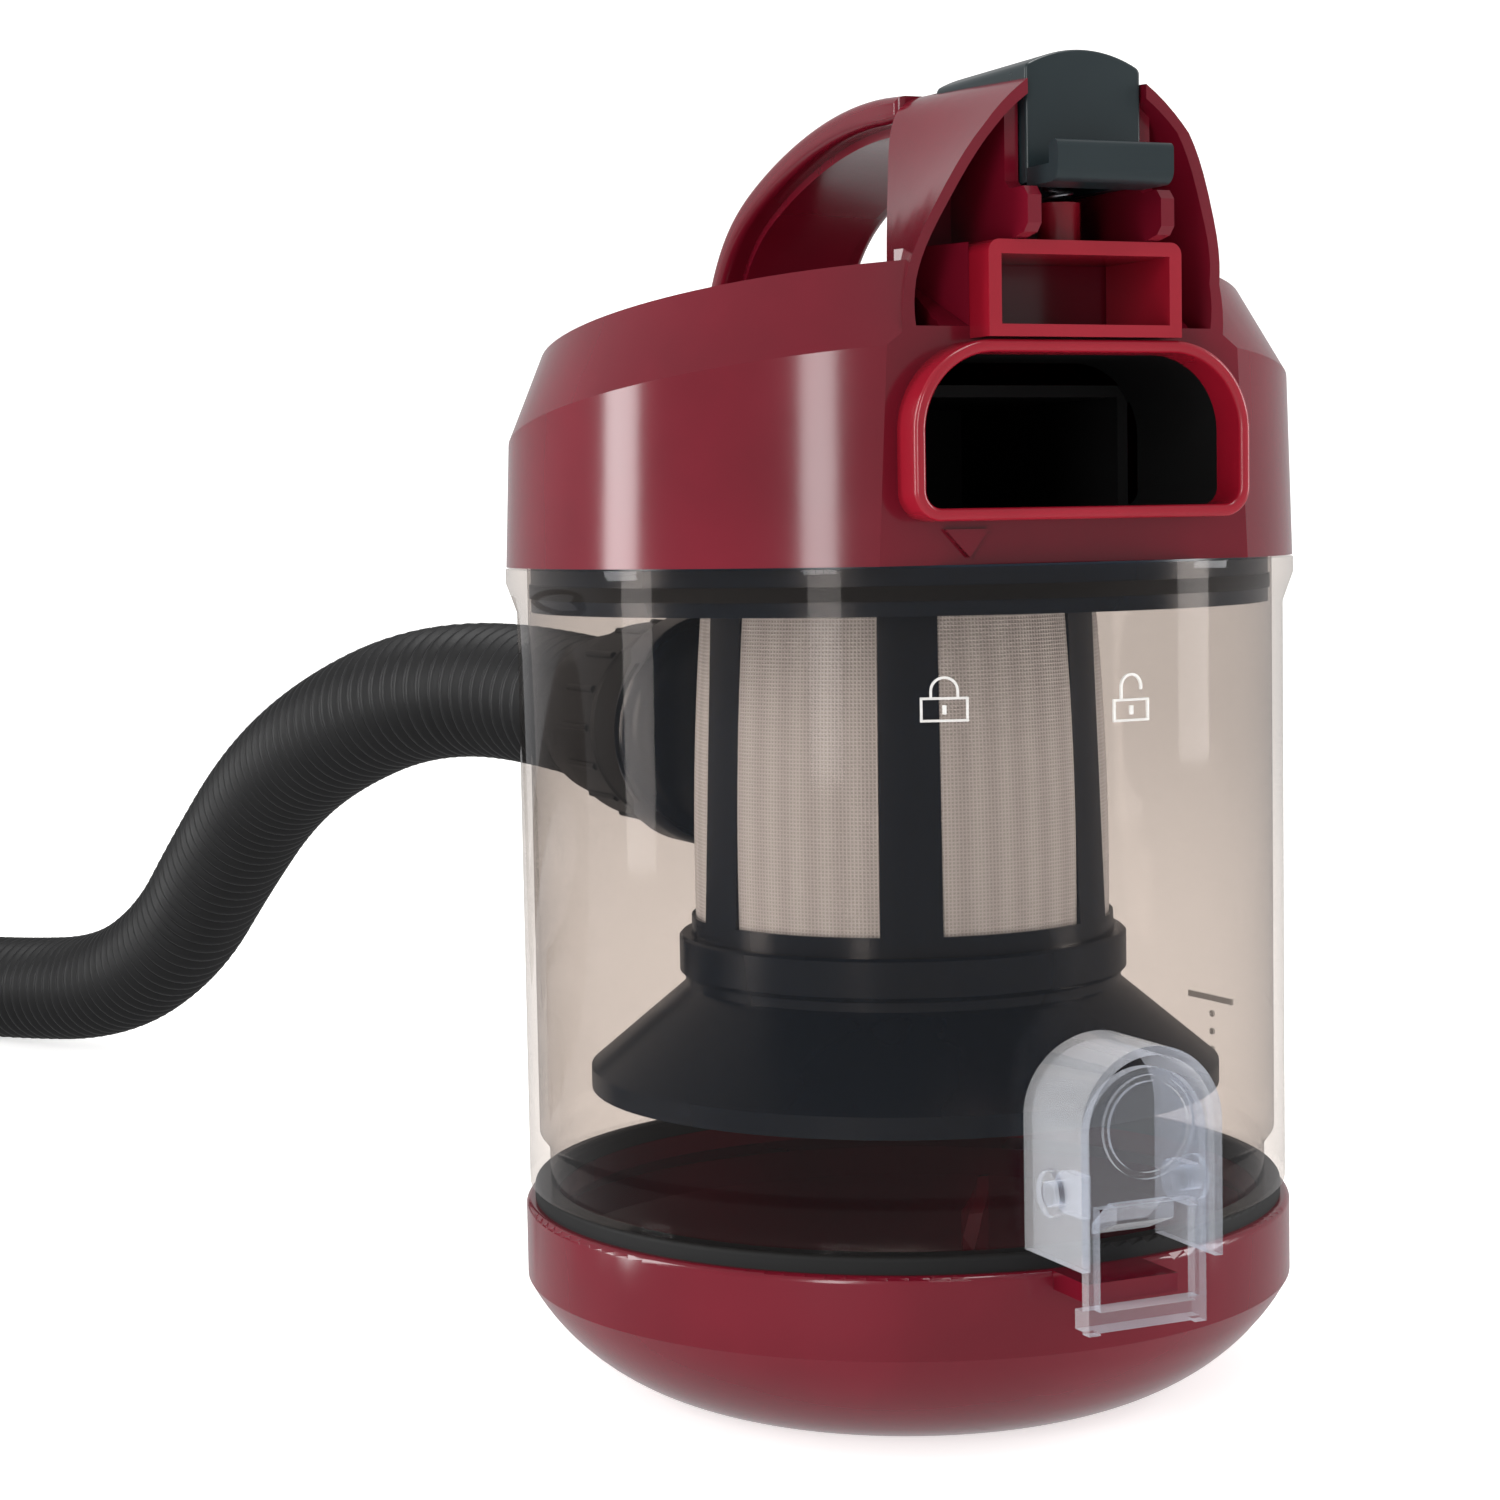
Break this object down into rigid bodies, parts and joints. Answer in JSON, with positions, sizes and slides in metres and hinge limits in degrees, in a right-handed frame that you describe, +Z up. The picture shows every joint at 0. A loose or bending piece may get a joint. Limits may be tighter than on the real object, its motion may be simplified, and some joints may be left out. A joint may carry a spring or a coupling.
{
  "type": "vacuum cleaner dust canister",
  "caption": "Clear cyclone dust canister of a bagless canister vacuum, with tilting carry handle head, hinged base, sprung latch, mesh-caged filter and corrugated suction hose.",
  "frame": {"origin": "centre of the flat face that the base rests on, on the canister's axis", "axes": "+Z up along the canister's axis, -Y towards the dock side with the air outlet and the latch, +Y towards the hose and the base hinge"},
  "size_m": [0.5742, 0.7769, 0.2826],
  "materials": {
    "crimson_shell": "glossy moulded ABS, deep crimson",
    "crimson_bright": "satin moulded ABS, brighter red",
    "clear_bin": "clear smoky moulded plastic",
    "clear_latch": "clear colourless moulded plastic",
    "navy_plastic": "satin moulded plastic, very dark blue",
    "slate_plastic": "satin moulded plastic, dark slate",
    "black_rubber": "moulded elastomer",
    "black_cuff": "moulded plastic, black",
    "black_hose": "blow-moulded corrugated hose, black",
    "steel": "drawn steel wire and rod",
    "nylon_mesh": "woven nylon mesh",
    "filter_paper": "pleated filter paper",
    "filter_cap": "moulded foam end cap"
  },
  "bodies": {
    "bin": {"bin_shell": "clear_bin", "hinge_pin": "steel", "latch_housing": "clear_latch", "inlet_elbow": "navy_plastic", "inlet_seal": "black_rubber", "hose_cuff": "black_cuff", "hose_tube": "black_hose", "hose_end": "black_cuff"},
    "base": {"base_lid": "crimson_shell", "base_seal": "black_rubber"},
    "latch": {"latch_lever": "clear_latch"},
    "head": {"head_shell": "crimson_shell", "outlet_bezel": "crimson_bright", "outlet_duct": "black_cuff", "filter_seat": "navy_plastic", "seat_screws": "steel", "head_seal": "black_rubber", "button_frame": "crimson_bright", "handle_grip": "crimson_shell", "grip_underside": "crimson_shell", "button_pin": "steel", "button_spring": "steel"},
    "filter": {"filter_cage": "navy_plastic", "mesh_panel_1": "nylon_mesh", "mesh_panel_2": "nylon_mesh", "mesh_panel_3": "nylon_mesh", "mesh_panel_4": "nylon_mesh", "mesh_panel_5": "nylon_mesh", "mesh_panel_6": "nylon_mesh", "pleated_cartridge": "filter_paper", "cartridge_top": "filter_cap", "cartridge_foot": "filter_cap", "filter_collar": "navy_plastic", "filter_skirt": "navy_plastic"},
    "button": {"release_button": "slate_plastic", "release_hook": "slate_plastic"}
  },
  "joints": [
    {"name": "head_twist", "type": "hinge", "parent": "bin", "child": "head", "pos_m": [0, 0, 0.182], "axis": [0, 0, 1], "range_deg": [0, 28]},
    {"name": "filter_twist", "type": "hinge", "parent": "head", "child": "filter", "pos_m": [0, 0, 0.1818], "axis": [0, 0, 1], "range_deg": [0, 20]},
    {"name": "base_hinge", "type": "hinge", "parent": "bin", "child": "base", "pos_m": [0, 0.093, 0.037], "axis": [1, 0, 0], "range_deg": [0, 85]},
    {"name": "latch_release", "type": "hinge", "parent": "bin", "child": "latch", "pos_m": [0, -0.095, 0.059], "axis": [-1, 0, 0], "range_deg": [0, 10], "stiffness_Nm_per_rad": 0.05, "springref_deg": -5.73},
    {"name": "button_press", "type": "hinge", "parent": "head", "child": "button", "pos_m": [0, -0.051, 0.268], "axis": [1, 0, 0], "range_deg": [0, 4], "stiffness_Nm_per_rad": 0.8, "springref_deg": -5.73, "deforming": ["button_spring"]}
  ]
}
